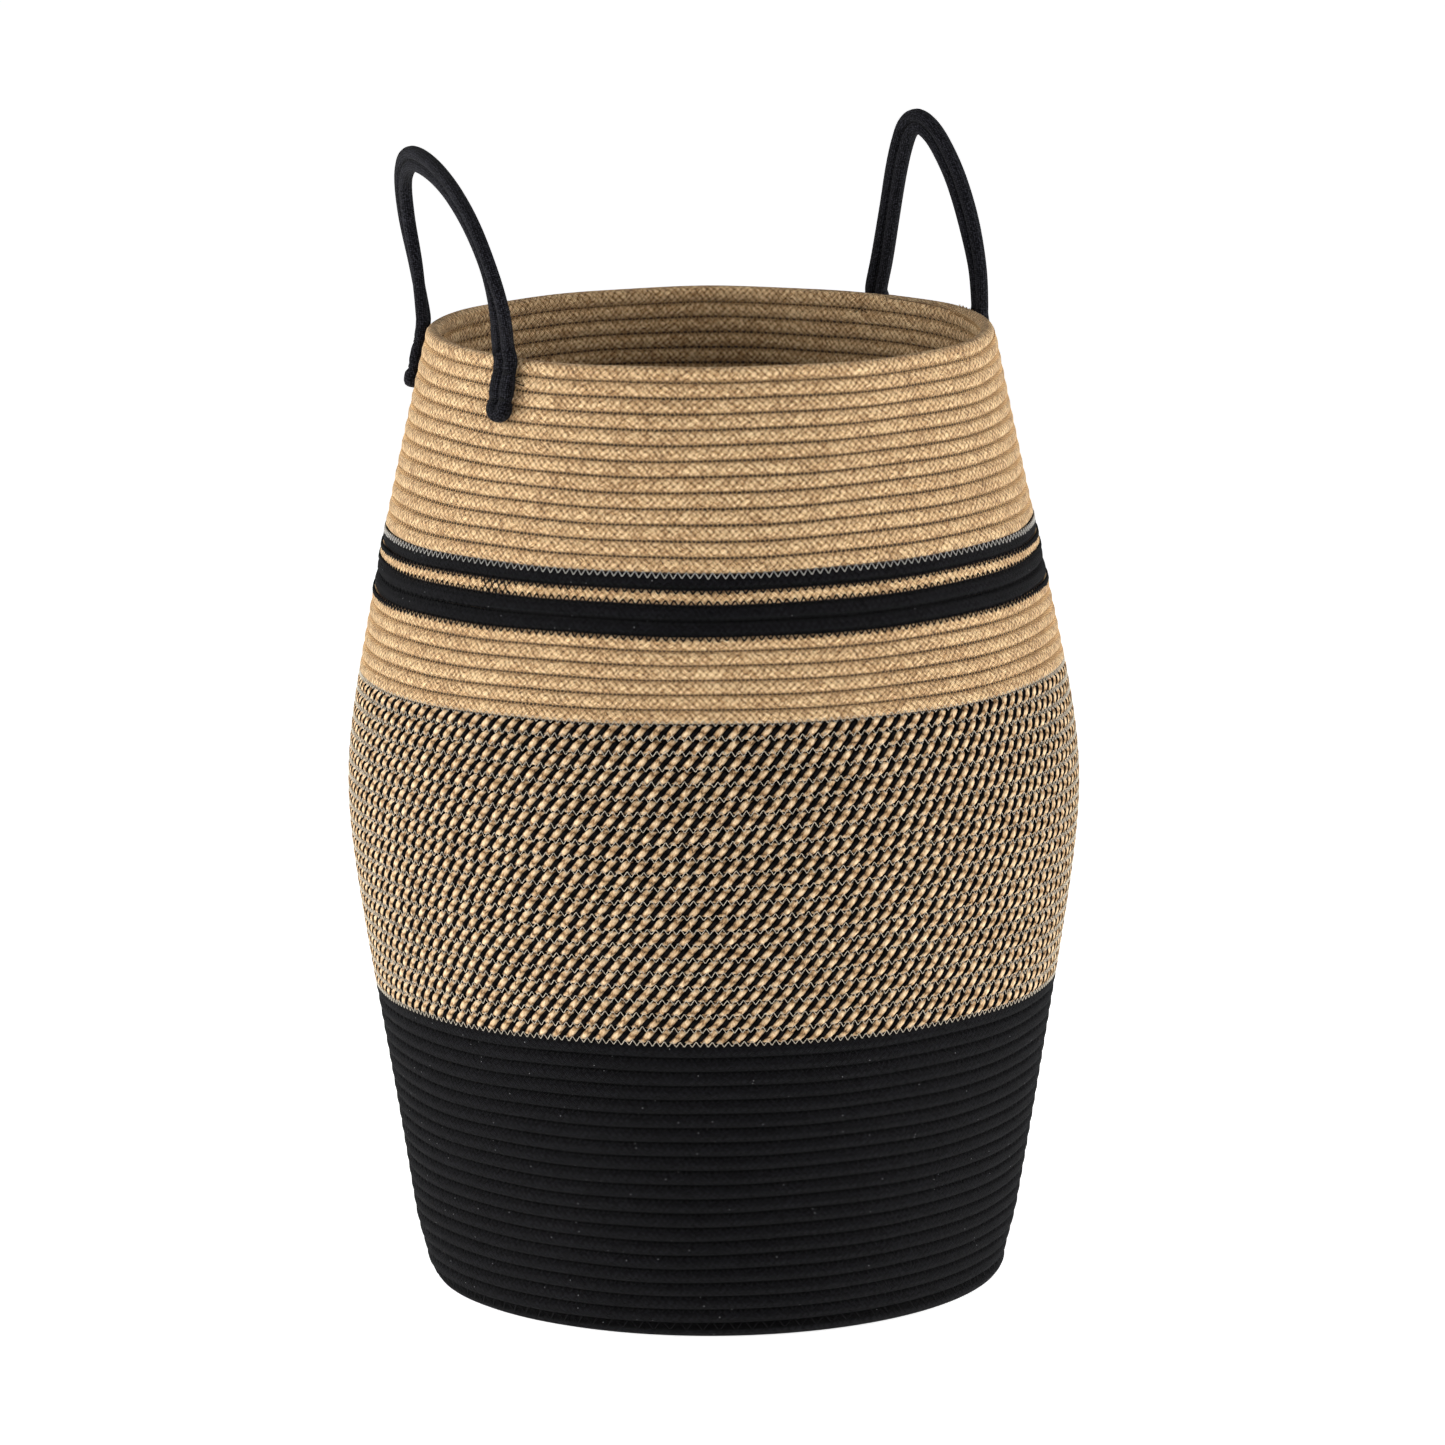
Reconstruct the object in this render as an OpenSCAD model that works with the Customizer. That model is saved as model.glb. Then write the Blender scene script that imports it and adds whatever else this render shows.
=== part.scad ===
// Coiled rope hamper: a round floor, a bellied wall of stitched rope bands
// and two strap handles that swing on the rim. Origin: centre of the floor's underside.

/* [Body] */
// Height from the floor to the top of the rim
body_h = 520; // [480:5:560]
// Outside diameter at the rim
rim_d = 308; // [296:1:320]
// Outside diameter that the lower flank would reach at the floor
foot_d = 321; // [310:1:330]
// Outward slope of the lower flank, radius per height
flare = 0.168; // [0.14:0.002:0.18]
// Inward slope of the upper flank, radius per height
taper = 0.223; // [0.2:0.001:0.23]
// Rounding where the two flanks meet at the belly
belly_round = 8.7; // [4:0.1:12]
// Diameter of the coiled rope, which is the wall's thickness
rope_d = 8.2; // [7.6:0.1:8.6]

/* [Rows] */
// Rows of black rope above the floor
black_rows = 20; // [16:1:21]
// Height of one black row along the wall
black_pitch = 8.0; // [7.6:0.1:8.2]
// Rows of two-tone twisted rope
twisted_rows = 22; // [18:1:22]
// Height of one twisted row along the wall
twisted_pitch = 7.8; // [7.4:0.1:8.0]
// Rows of jute rope under the stripes
lower_jute_rows = 6; // [3:1:7]
// Height of one row of the lower jute band
lower_jute_pitch = 7.7; // [7.4:0.1:8.0]
// Height of one striped row
stripe_pitch = 8.2; // [7.8:0.1:8.4]
// Rows of jute rope above the stripes, with the rim turn
upper_jute_rows = 13; // [8:1:16]

/* [Handles] */
// Angle from the X axis, towards the back, of each handle's middle
handle_back = 9.4; // [0:0.1:15]
// Half the angle between the left handle's legs
left_half_span = 27.2; // [20:0.1:30]
// Half the angle between the right handle's legs
right_half_span = 17.2; // [14:0.1:20]
// Outward lean of the left loop, run per rise
left_lean = 0.2; // [0:0.05:0.3]
// Outward lean of the right loop, run per rise
right_lean = -0.15; // [-0.2:0.05:0.2]
// Diameter of each of the strap's two cords
cord_d = 6.8; // [6:0.1:7]
// Radius from the basket's axis to the middle of each leg at the hinge line
leg_r = 157.5; // [157:0.5:160]
// Height of the hinge line above the rim
hinge_rise = 6; // [5:0.5:10]

/* [Hidden] */

jute = [0.80, 0.66, 0.46];
black = [0.09, 0.09, 0.10];
two_tone = [0.45, 0.38, 0.28];
cream = [0.90, 0.87, 0.78];
grey = [0.62, 0.60, 0.57];

$fn = 96;
fit_gap = 0.05;             // between pieces that are sewn together
step_h = 24;                // height between the points of a band's outline
groove_depth = 1.2;         // seam groove between two bands
groove_half = 1.5;          // half the seam groove's height
thread_d = 0.9;             // sewing thread
arc_steps = 8;              // segments in the floor's rounded edge

// Height of each boundary, from the floor up
floor_top = rope_d;
black_top = climb(floor_top, black_rows, black_pitch);
twisted_top = climb(black_top, twisted_rows, twisted_pitch);
lower_jute_top = climb(twisted_top, lower_jute_rows, lower_jute_pitch);
double_top = climb(lower_jute_top, 2, stripe_pitch);
jute_stripe_top = climb(double_top, 1, stripe_pitch);
single_top = climb(jute_stripe_top, 1, stripe_pitch);
rim_base = body_h - (body_h - single_top) / upper_jute_rows;

// Strap ends: sewn flat to the wall below the hinge line
hinge_z = body_h + hinge_rise;
end_top_drop = 9.5;         // hinge line down to the centre of the end's round top
end_bottom_drop = 37;       // hinge line down to the centre of its round bottom
stitch_drops = [15, 29];    // hinge line down to the two lines of stitches
cord_offset = cord_d / 2 + fit_gap;
cord_sides = 10;
thread_sides = 6;
path_steps = 4;             // sweep rings between two points of a loop

// Middle line of each loop: [along the hinge line, height above it]
left_half = leg_r * sin(left_half_span);
right_half = leg_r * sin(right_half_span);
left_path = [
    [left_half, 0], [78, 18], [74, 40], [58, 61], [32, 78], [0, 87],
    [-32, 88], [-54, 77], [-64, 56], [-66, 28], [-left_half, 0]
];
right_path = [
    [right_half, 0], [40, 20], [29, 44], [19, 66], [9, 85], [-9, 97],
    [-26, 87], [-38, 68], [-45, 45], [-48, 20], [-right_half, 0]
];

// Outside radius at height z: two straight flanks blended at the belly
function low_flank(z) = foot_d / 2 + flare * z;
function high_flank(z) = rim_d / 2 + taper * (body_h - z);
function wall_r(z) =
    let (mid = (low_flank(z) + high_flank(z)) / 2, half = (low_flank(z) - high_flank(z)) / 2)
    mid - sqrt(half * half + belly_round * belly_round);

// Height after climbing some rows along the wall from height z
function rise(z) = 1 / sqrt(1 + pow(wall_r(z + 1) - wall_r(z), 2));
function climb(z, rows, pitch) = rows < 1 ? z : climb(z + pitch * rise(z), rows - 1, pitch);

// Outline of a band between two heights, its outer corners cut back for the seams
function band_heights(z0, z1) =
    let (low = z0 + groove_half, high = z1 - groove_half, n = max(1, round((high - low) / step_h)))
    [for (i = [0 : n]) low + (high - low) * i / n];
function band_outline(z0, z1) =
    let (heights = band_heights(z0, z1), n = len(heights) - 1)
    concat(
        [[wall_r(z0) - groove_depth, z0]],
        [for (z = heights) [wall_r(z), z]],
        [[wall_r(z1) - groove_depth, z1], [wall_r(z1) - rope_d, z1]],
        [for (i = [n : -1 : 0]) [wall_r(heights[i]) - rope_d, heights[i]]],
        [[wall_r(z0) - rope_d, z0]]
    );

// Points of a smooth curve through a list of points
function spline_point(a, b, c, d, t) =
    0.5 * (2 * b + (c - a) * t + (2 * a - 5 * b + 4 * c - d) * t * t
    + (3 * b - a - 3 * c + d) * t * t * t);
function spline(points) =
    let (n = len(points) - 1)
    concat(
        [for (i = [0 : n - 1], j = [0 : path_steps - 1])
            spline_point(
                points[max(i - 1, 0)], points[i], points[i + 1], points[min(i + 2, n)],
                j / path_steps
            )],
        [points[n]]
    );

// Unit direction along a list of flat points, level at both ends with the legs
function unit(v) = v / norm(v);
function direction(points, i) =
    let (n = len(points) - 1)
    i == 0 ? [0, 1] : i == n ? [0, -1] : unit(points[i + 1] - points[i - 1]);

// One band of rope rows
module band(z0, z1) {
    rotate_extrude() polygon(band_outline(z0, z1));
}

// A ring of thread at height z, its middle sunk into the wall's outside by a depth
module seam_ring(z, depth = thread_d / 2) {
    rotate_extrude() translate([wall_r(z) - depth, z]) circle(d = thread_d, $fn = 16);
}

// A round tube beside the middle line of a loop: across is the distance outward
// within the loop, lift the distance in front of it
module loop_tube(path, dia, sides, across, lift) {
    middle = spline(path);
    n = len(middle) - 1;
    rings = [for (i = [0 : n])
        let (t = direction(middle, i), out = [t[1], -t[0]])
        [for (k = [0 : sides - 1])
            let (a = 360 * (k + 0.5) / sides, p = middle[i] + out * (across + dia / 2 * cos(a)))
            [lift + dia / 2 * sin(a), p[0], p[1]]]
    ];
    points = [for (ring = rings, p = ring) p];
    sides_faces = [for (i = [0 : n - 1], k = [0 : sides - 1])
        let (a = i * sides + k, b = i * sides + (k + 1) % sides)
        [a, a + sides, b + sides, b]
    ];
    caps = [
        [for (k = [0 : sides - 1]) k],
        [for (k = [sides - 1 : -1 : 0]) n * sides + k]
    ];
    polyhedron(points, concat(sides_faces, caps), convexity = 6);
}

// Places a loop drawn in the YZ plane on its hinge line, leaning outward
module on_hinge(middle_angle, half_span, lean) {
    rotate(middle_angle)
        translate([leg_r * cos(half_span), 0, hinge_z])
            rotate([0, atan(lean), 0])
                children();
}

module left_loop() {
    on_hinge(180 - handle_back, left_half_span, left_lean) children();
}

module right_loop() {
    on_hinge(handle_back, right_half_span, right_lean) children();
}

// Places a piece drawn at the hinge line's height against the wall, where X points
// away from the wall and Z runs up its slope
module on_wall(angle) {
    rotate(angle)
        translate([wall_r(hinge_z) + cord_d / 2 + 2 * fit_gap, 0, hinge_z])
            rotate([0, -atan(taper), 0])
                children();
}

// A strap end: its two cords side by side with round tops and bottoms
module strap_end(angle) {
    on_wall(angle)
        for (side = [-1, 1]) translate([0, side * cord_offset, 0]) {
            translate([0, 0, -end_bottom_drop])
                cylinder(d = cord_d, h = end_bottom_drop - end_top_drop, $fn = 32);
            translate([0, 0, -end_top_drop]) sphere(d = cord_d, $fn = 32);
            translate([0, 0, -end_bottom_drop]) sphere(d = cord_d, $fn = 32);
        }
}

// The two lines of stitches over a strap end
module strap_stitches(angle) {
    on_wall(angle)
        for (drop = stitch_drops)
            translate([(cord_d + thread_d) / 2 + fit_gap, 0, -drop])
                rotate([90, 0, 0])
                    cylinder(d = thread_d, h = 2 * cord_d, center = true, $fn = 16);
}

module base_coil() {
    edge = wall_r(floor_top);
    corner = [for (i = [0 : arc_steps])
        let (a = -90 + 90 * i / arc_steps)
        [edge - floor_top + floor_top * cos(a), floor_top + floor_top * sin(a)]
    ];
    color(black) rotate_extrude() polygon(concat([[0, 0]], corner, [[0, floor_top]]));
}

module rim_turn() {
    bead_d = body_h - rim_base - fit_gap;
    bead_z = body_h - bead_d / 2;
    bead_r = wall_r(body_h) - rope_d / 2;
    color(jute) rotate_extrude() {
        translate([bead_r, bead_z]) circle(d = bead_d, $fn = 32);
        polygon([
            [wall_r(rim_base) - groove_depth, rim_base],
            [bead_r + bead_d / 2, bead_z],
            [bead_r - bead_d / 2, bead_z],
            [wall_r(rim_base) - rope_d, rim_base]
        ]);
    }
}

module black_wall_coil() { color(black) band(floor_top, black_top); }
module twisted_wall_coil() { color(two_tone) band(black_top, twisted_top); }
module lower_jute_coil() { color(jute) band(twisted_top, lower_jute_top); }
module black_double_stripe() { color(black) band(lower_jute_top, double_top); }
module jute_stripe() { color(jute) band(double_top, jute_stripe_top); }
module black_single_stripe() { color(black) band(jute_stripe_top, single_top); }
module upper_jute_coil() { color(jute) band(single_top, rim_base); }

module black_seam_thread() {
    color(black) seam_ring(floor_top + groove_half, -thread_d / 2 - fit_gap);
}

module cream_seam_thread() {
    color(cream) for (z = [black_top, twisted_top]) seam_ring(z);
}

module black_zigzag_thread() {
    color(black) for (z = [lower_jute_top, double_top, jute_stripe_top]) seam_ring(z);
}

module grey_zigzag_thread() { color(grey) seam_ring(single_top); }
module jute_seam_thread() { color(jute) seam_ring(rim_base); }

module outer_cord(path) { color(black) loop_tube(path, cord_d, cord_sides, cord_offset, 0); }
module inner_cord(path) { color(black) loop_tube(path, cord_d, cord_sides, -cord_offset, 0); }

// The thread that joins a loop's two cords lies in the groove on its outer face
module loop_thread(path) {
    lift = sqrt(pow((cord_d + thread_d) / 2, 2) - pow(cord_offset, 2)) + fit_gap;
    color(black) loop_tube(path, thread_d, thread_sides, 0, lift);
}

left_front = 180 - handle_back + left_half_span;
left_back = 180 - handle_back - left_half_span;
right_front = handle_back - right_half_span;
right_back = handle_back + right_half_span;

module left_handle_outer_cord() { left_loop() outer_cord(left_path); }
module left_handle_inner_cord() { left_loop() inner_cord(left_path); }
module left_handle_seam_thread() { left_loop() loop_thread(left_path); }
module left_handle_front_end() { color(black) strap_end(left_front); }
module left_handle_back_end() { color(black) strap_end(left_back); }
module left_handle_front_stitches() { color(black) strap_stitches(left_front); }
module left_handle_back_stitches() { color(black) strap_stitches(left_back); }

module right_handle_outer_cord() { right_loop() outer_cord(right_path); }
module right_handle_inner_cord() { right_loop() inner_cord(right_path); }
module right_handle_seam_thread() { right_loop() loop_thread(right_path); }
module right_handle_front_end() { color(black) strap_end(right_front); }
module right_handle_back_end() { color(black) strap_end(right_back); }
module right_handle_front_stitches() { color(black) strap_stitches(right_front); }
module right_handle_back_stitches() { color(black) strap_stitches(right_back); }

base_coil();
black_wall_coil();
twisted_wall_coil();
lower_jute_coil();
black_double_stripe();
jute_stripe();
black_single_stripe();
upper_jute_coil();
rim_turn();
black_seam_thread();
cream_seam_thread();
black_zigzag_thread();
grey_zigzag_thread();
jute_seam_thread();
left_handle_outer_cord();
left_handle_inner_cord();
left_handle_seam_thread();
left_handle_front_end();
left_handle_back_end();
left_handle_front_stitches();
left_handle_back_stitches();
right_handle_outer_cord();
right_handle_inner_cord();
right_handle_seam_thread();
right_handle_front_end();
right_handle_back_end();
right_handle_front_stitches();
right_handle_back_stitches();
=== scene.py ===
"""Looks of the coiled rope laundry basket: every turn of rope, every seam's zigzag thread
and both strap handles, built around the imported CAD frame. Lengths are in metres."""
import math
from collections import namedtuple

import bpy
import numpy as np
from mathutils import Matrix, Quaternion, Vector

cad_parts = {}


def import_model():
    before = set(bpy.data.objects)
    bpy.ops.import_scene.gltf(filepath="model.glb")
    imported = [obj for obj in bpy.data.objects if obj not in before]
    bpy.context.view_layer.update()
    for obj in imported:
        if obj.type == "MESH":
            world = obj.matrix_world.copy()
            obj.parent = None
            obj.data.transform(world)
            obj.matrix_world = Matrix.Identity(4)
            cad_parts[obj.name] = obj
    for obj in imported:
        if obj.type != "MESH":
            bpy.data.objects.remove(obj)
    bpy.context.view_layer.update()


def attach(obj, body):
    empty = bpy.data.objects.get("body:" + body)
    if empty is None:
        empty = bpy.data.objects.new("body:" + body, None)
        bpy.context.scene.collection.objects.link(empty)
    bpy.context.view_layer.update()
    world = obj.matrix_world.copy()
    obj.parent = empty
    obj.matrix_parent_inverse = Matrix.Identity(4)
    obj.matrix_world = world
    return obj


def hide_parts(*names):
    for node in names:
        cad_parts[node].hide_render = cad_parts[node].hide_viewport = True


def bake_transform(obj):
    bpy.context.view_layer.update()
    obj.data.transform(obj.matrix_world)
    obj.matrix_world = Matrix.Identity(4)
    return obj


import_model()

# Body, as in the CAD model
BODY_H = 0.520
RIM_D = 0.308
FOOT_D = 0.321
FLARE = 0.168
TAPER = 0.223
BELLY_ROUND = 0.0087
ROPE_D = 0.0082
ROPE_R = ROPE_D / 2

# Rows of rope from the floor's edge up: rows, height of one row
BLACK = (20, 0.0080)
TWISTED = (22, 0.0078)
LOWER_JUTE = (6, 0.0077)
STRIPES = (4, 0.0082)
UPPER_ROWS = 13
FLOOR_ROWS = 20
RIM_ROW = BLACK[0] + TWISTED[0] + LOWER_JUTE[0] + STRIPES[0] + UPPER_ROWS - 1

# Azimuths in degrees, counter-clockwise from +X
CAMERA_AZIMUTH = -118.6
JOIN_AZIMUTH = 136.4            # where the rope changes colour
END_AZIMUTH = 19.4              # where its last turn ends
JOIN_STITCH_AZIMUTH = 201.9     # crossed stitches on the jute stripe
JOIN = ((JOIN_AZIMUTH - CAMERA_AZIMUTH) % 360) / 360 - 1
RIM_END = RIM_ROW + ((END_AZIMUTH - CAMERA_AZIMUTH) % 360) / 360

# How the hand-made coil differs from level rings of the CAD model's shape
LEVEL_ROWS = 9                  # rows under the rim that even it out
LEVEL_TURNS = 0.4               # turns past the rope's end where the rim isn't shifted
TAPER_TURNS = 0.21              # length of the thinned end
END_SINK = 0.44                 # rows that its tip sinks
END_INWARD = 0.0012             # how far its tip is drawn in
END_THINNING = (0.55, 0.43)     # what its tip loses outward, as a share, and up, in rows
TOP_SEAM_END = RIM_END - 1.06   # the last seam ends just before the rope's end
BACK_RISE = 0.0072              # how much higher the rim stands at the back
BACK_RISE_START = 0.25          # distance up the wall where the rise starts
BACK_RISE_LENGTH = 0.28         # distance over which it comes to its full height
FOOT_TUCK = 0.013               # share by which the lowest rows draw in
FOOT_HEIGHT = 0.03              # distance up the wall where they no longer do
CENTRE_TURNS = 0.44             # turns added to close the spiral at the floor's centre
OUT_WAVES = ((0.0007, 3, 14, 0.7), (0.0004, 7, -23, 0))     # size, number round, climb, phase
UP_WAVES = ((0.0004, 4, 31, 0), (0.0002, 11, -57, 0))

# Make-up of the ropes
ROPE_GIRTH = math.pi * ROPE_D
ROW_POWER = 2.9                 # how square the rows press a rope: 2 is round
ROW_SHARE = 0.51                # a rope's half height as a share of its row
BRAID_CELL = 0.0038             # length of the braid's diamonds
BRAID_CELLS_ROUND = 7
YARNS = 3                       # yarns of a braid's strand
STRAND_R = 0.00395              # outside of the laid rope's strands
STRAND_GIRTH = 2 * math.pi * STRAND_R
STRAND_POWER = 2.8
STRANDS = 4
PERIOD = 0.0081                 # one jute and one black strand along the row
PERIOD_SHIFTS = (0.5, 0.3)      # periods that a row starts on from the one below, and its jitter
JUTE_SPREAD = 108               # degrees of the rope's girth that a jute strand takes
BLACK_SPREAD = 72
LOBE_SHARES = (-0.5, -0.21, 0.21, 0.5)      # corners of a strand's rounded outside
LOBE_SIZES = (0.80, 1.04, 1.04, 0.80)

# Handles, as in the CAD model
HANDLE_BACK = 9.4
HANDLES = (                     # side, azimuth, half the angle between the legs
    ("left", 180 - HANDLE_BACK, 27.2),
    ("right", HANDLE_BACK, 17.2),
)
CORD_D = 0.0068
CORD_OFFSET = CORD_D / 2 + 0.00005
LEG_R = 0.1575
HINGE_Z = BODY_H + 0.006
STITCH_DROPS = (0.015, 0.029)   # hinge line down to the two lines of stitches

# Handles, in this model only
END_DROP = 0.0335               # hinge line down to where a sewn end's tip curls in


# ---------------------------------------------------------------- shape of the wall

def wall_radius(z):
    """Outside radius of the wall at height z."""
    low = FOOT_D / 2 + FLARE * z
    high = RIM_D / 2 + TAPER * (BODY_H - z)
    return (low + high) / 2 - np.sqrt(((low - high) / 2) ** 2 + BELLY_ROUND ** 2)


def coil_section():
    """The rope's middle line in the (radius, height) half-plane, from the floor's centre up.
    Returns distance g, zero where the wall starts, radius, height and outward normal."""
    corner_r = float(wall_radius(ROPE_D)) - ROPE_D
    r = np.linspace(0, corner_r, 400)
    a = np.linspace(-math.pi / 2, 0, 60)[1:]
    z = np.linspace(ROPE_D, BODY_H + 0.02, 2600)[1:]
    outer = wall_radius(z)
    slope = np.gradient(outer, z)
    scale = np.sqrt(1 + slope ** 2)
    normal_r, normal_z = 1 / scale, -slope / scale
    corner = ROPE_R * math.pi / 2
    g = np.concatenate([
        r - corner_r - corner,
        ROPE_R * a,
        np.cumsum(scale) * (z[1] - z[0]),
    ])
    return (
        g,
        np.concatenate([r, corner_r + ROPE_R * np.cos(a), outer - ROPE_R * normal_r]),
        np.concatenate([
            np.full_like(r, ROPE_R), ROPE_D + ROPE_R * np.sin(a), z - ROPE_R * normal_z,
        ]),
        np.concatenate([np.zeros_like(r), np.cos(a), normal_r]),
        np.concatenate([-np.ones_like(r), np.sin(a), normal_z]),
    )


SECTION = coil_section()


def row_edges():
    """Distance g of each row's lower edge, from the floor's centre to the rim's top."""
    floor = np.linspace(SECTION[0][0], 0, FLOOR_ROWS + 1)
    pitches = [p for rows, p in (BLACK, TWISTED, LOWER_JUTE, STRIPES) for _ in range(rows)]
    wall = np.cumsum(pitches)
    top = np.interp(BODY_H, SECTION[2] + ROPE_R * SECTION[4], SECTION[0])
    upper = np.linspace(wall[-1], top, UPPER_ROWS + 1)[1:]
    above = top + (upper[-1] - upper[-2]) * np.array([1, 2])
    return np.concatenate([floor, wall, upper, above])


EDGES = row_edges()
EDGE_ROWS = np.arange(len(EDGES)) - FLOOR_ROWS


def smooth(t):
    """A smooth step from 0 at 0 to 1 at 1."""
    t = np.clip(t, 0, 1)
    return t * t * (3 - 2 * t)


def waves(azimuth, g, parts):
    """A sum of slow waves round the basket and up its wall."""
    return sum(
        size * np.sin(number * azimuth + climb * g + phase)
        for size, number, climb, phase in parts
    )


def hand_shaped(azimuth, g):
    """Unevenness of a hand-guided coil: share of the radius, outward and upward shifts."""
    wall = smooth(g / FOOT_HEIGHT)
    behind = (1 - np.cos(azimuth - math.radians(CAMERA_AZIMUTH))) / 2
    rise = BACK_RISE * behind * smooth((g - BACK_RISE_START) / BACK_RISE_LENGTH)
    out = wall * waves(azimuth, g, OUT_WAVES)
    up = wall * waves(azimuth, g, UP_WAVES) + rise
    return 1 - FOOT_TUCK * (1 - wall), out, up


def rim_level(turns, rows):
    """Rows to add near the rim so that it comes out level, although the coil climbs."""
    passed = (turns - RIM_END) % 1
    high = passed - smooth((passed - 1 + TAPER_TURNS) / TAPER_TURNS)
    return -(high - LEVEL_TURNS) * smooth((rows - RIM_ROW - 1 + LEVEL_ROWS) / LEVEL_ROWS)


def on_coil(turns, rows_up=0.5, out=0.0):
    """Points on the coil. A turn starts at the camera's azimuth and climbs one row; rows_up is
    in rows above the rope's lower edge, out in metres outward of its middle line. Returns
    points, outward normals and upward directions along the wall."""
    turns = np.asarray(turns, float)
    rows = turns + rows_up
    azimuth = math.radians(CAMERA_AZIMUTH) + 2 * math.pi * turns
    g = np.interp(rows + rim_level(turns, rows), EDGE_ROWS, EDGES)
    share, shift_out, shift_up = hand_shaped(azimuth, g)
    g = g + shift_up
    radius, z, normal_r, normal_z = (np.interp(g, SECTION[0], column) for column in SECTION[1:])
    radius = radius * share + shift_out + out * normal_r
    c, s = np.cos(azimuth), np.sin(azimuth)
    points = np.stack([radius * c, radius * s, z + out * normal_z], 1)
    normals = np.stack([normal_r * c, normal_r * s, normal_z], 1)
    ups = np.stack([-normal_z * c, -normal_z * s, normal_r], 1)
    return points, normals, ups


def pitch_at(turns):
    """Height of the row at each number of turns."""
    turns = np.asarray(turns, float)
    low = turns + rim_level(turns, turns)
    high = turns + 1 + rim_level(turns, turns + 1)
    return np.interp(high, EDGE_ROWS, EDGES) - np.interp(low, EDGE_ROWS, EDGES)


# ---------------------------------------------------------------- mesh building

def distances(points):
    """Distance along a line of points."""
    return np.concatenate([[0], np.cumsum(np.linalg.norm(np.diff(points, axis=0), axis=1))])


def unit(vectors):
    """Vectors of length 1."""
    return vectors / np.linalg.norm(vectors, axis=-1, keepdims=True)


def square_to(vectors, tangents):
    """Unit vectors at right angles to the unit tangents, as near to the vectors as can be."""
    along = np.sum(vectors * tangents, axis=1, keepdims=True)
    return unit(vectors - tangents * along)


def section_shape(sides, power):
    """Unit cross-section from its lowest point: a circle, squarer for a power above 2."""
    a = 2 * math.pi * np.arange(sides) / sides - math.pi / 2
    c, s = np.cos(a), np.sin(a)
    size = (np.abs(c) ** power + np.abs(s) ** power) ** (-1 / power)
    return c * size, s * size


def sweep(name, lines, section):
    """One mesh of tubes. Each line is (points, normals, ups, half size along the normals, half
    size along the ups), with its distances along too where they are given. A size is a number
    or has a row for each point. UV map Rope holds the distance along and around in metres, and
    OFBake cuts the same strip into rows that fill the unit square."""
    cn, cu = section
    sides = len(cn)
    girth = max(math.pi * float(np.mean(line[3]) + np.mean(line[4])) for line in lines)
    verts, quads, caps, along, around = [], [], [], [], []
    base, start = 0, 0.0
    for points, normals, ups, size_n, size_u, *given in lines:
        n = len(points)
        wide = np.broadcast_to(size_n * cn, (n, sides))[..., None]
        tall = np.broadcast_to(size_u * cu, (n, sides))[..., None]
        rings = points[:, None] + wide * normals[:, None] + tall * ups[:, None]
        verts.append(rings.reshape(-1, 3))
        grid = np.meshgrid(np.arange(n - 1), np.arange(sides), indexing="ij")
        i, k = (numbers.ravel() for numbers in grid)
        here, ahead, k2 = i * sides, (i + 1) * sides, (k + 1) % sides
        quads.append(base + np.stack([here + k, ahead + k, ahead + k2, here + k2], 1))
        caps.append(base + np.arange(sides))
        caps.append(base + (n - 1) * sides + np.arange(sides)[::-1])
        d = given[0] if given else start + distances(points)
        along.append(np.stack([d[i], d[i + 1], d[i + 1], d[i]], 1))
        around.append(np.stack([k, k, k + 1, k + 1], 1) * girth / sides)
        base += n * sides
        start = d[-1] + girth
    return build_mesh(name, np.concatenate(verts), np.concatenate(quads), caps,
                      np.concatenate(along), np.concatenate(around), girth)


def build_mesh(name, verts, quads, caps, along, around, girth):
    """A smooth mesh of quads and round caps with both UV maps."""
    mesh = bpy.data.meshes.new(name)
    mesh.vertices.add(len(verts))
    mesh.vertices.foreach_set("co", verts.astype(np.float32).ravel())
    cap_corners = np.concatenate(caps)
    corners = np.concatenate([quads.ravel(), cap_corners])
    sizes = np.array([4] * len(quads) + [len(cap) for cap in caps], np.int32)
    mesh.loops.add(len(corners))
    mesh.loops.foreach_set("vertex_index", corners.astype(np.int32))
    mesh.polygons.add(len(sizes))
    mesh.polygons.foreach_set("loop_start", np.cumsum(sizes, dtype=np.int32) - sizes)
    mesh.polygons.foreach_set("loop_total", sizes)
    mesh.polygons.foreach_set("use_smooth", np.ones(len(sizes), bool))
    mesh.update(calc_edges=True)
    no_cap = np.zeros((len(cap_corners), 2))
    rope = np.stack([along, around], -1).reshape(-1, 2)
    for layer, coords in (("Rope", rope), ("OFBake", bake_strips(along, around, girth))):
        uv = mesh.uv_layers.new(name=layer)
        uv.data.foreach_set("uv", np.concatenate([coords, no_cap]).astype(np.float32).ravel())
    mesh.uv_layers["Rope"].active = True
    mesh.uv_layers["Rope"].active_render = True
    mesh.validate()
    piece = bpy.data.objects.new(name, mesh)
    bpy.context.scene.collection.objects.link(piece)
    return piece


def bake_strips(along, around, girth):
    """Cuts the long strip of a tube into equal lengths, side by side in the unit square."""
    total = float(along.max()) + 1e-6
    strips = max(1, int(math.sqrt(total / girth)))
    length = total / strips
    strip = np.floor(along.mean(axis=1, keepdims=True) / length)
    u = 0.01 + 0.98 * np.clip((along - strip * length) / length, 0, 1)
    v = (strip + 0.03 + 0.94 * around / girth) / strips
    return np.stack([u, v], -1).reshape(-1, 2)


# ---------------------------------------------------------------- materials


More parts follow.
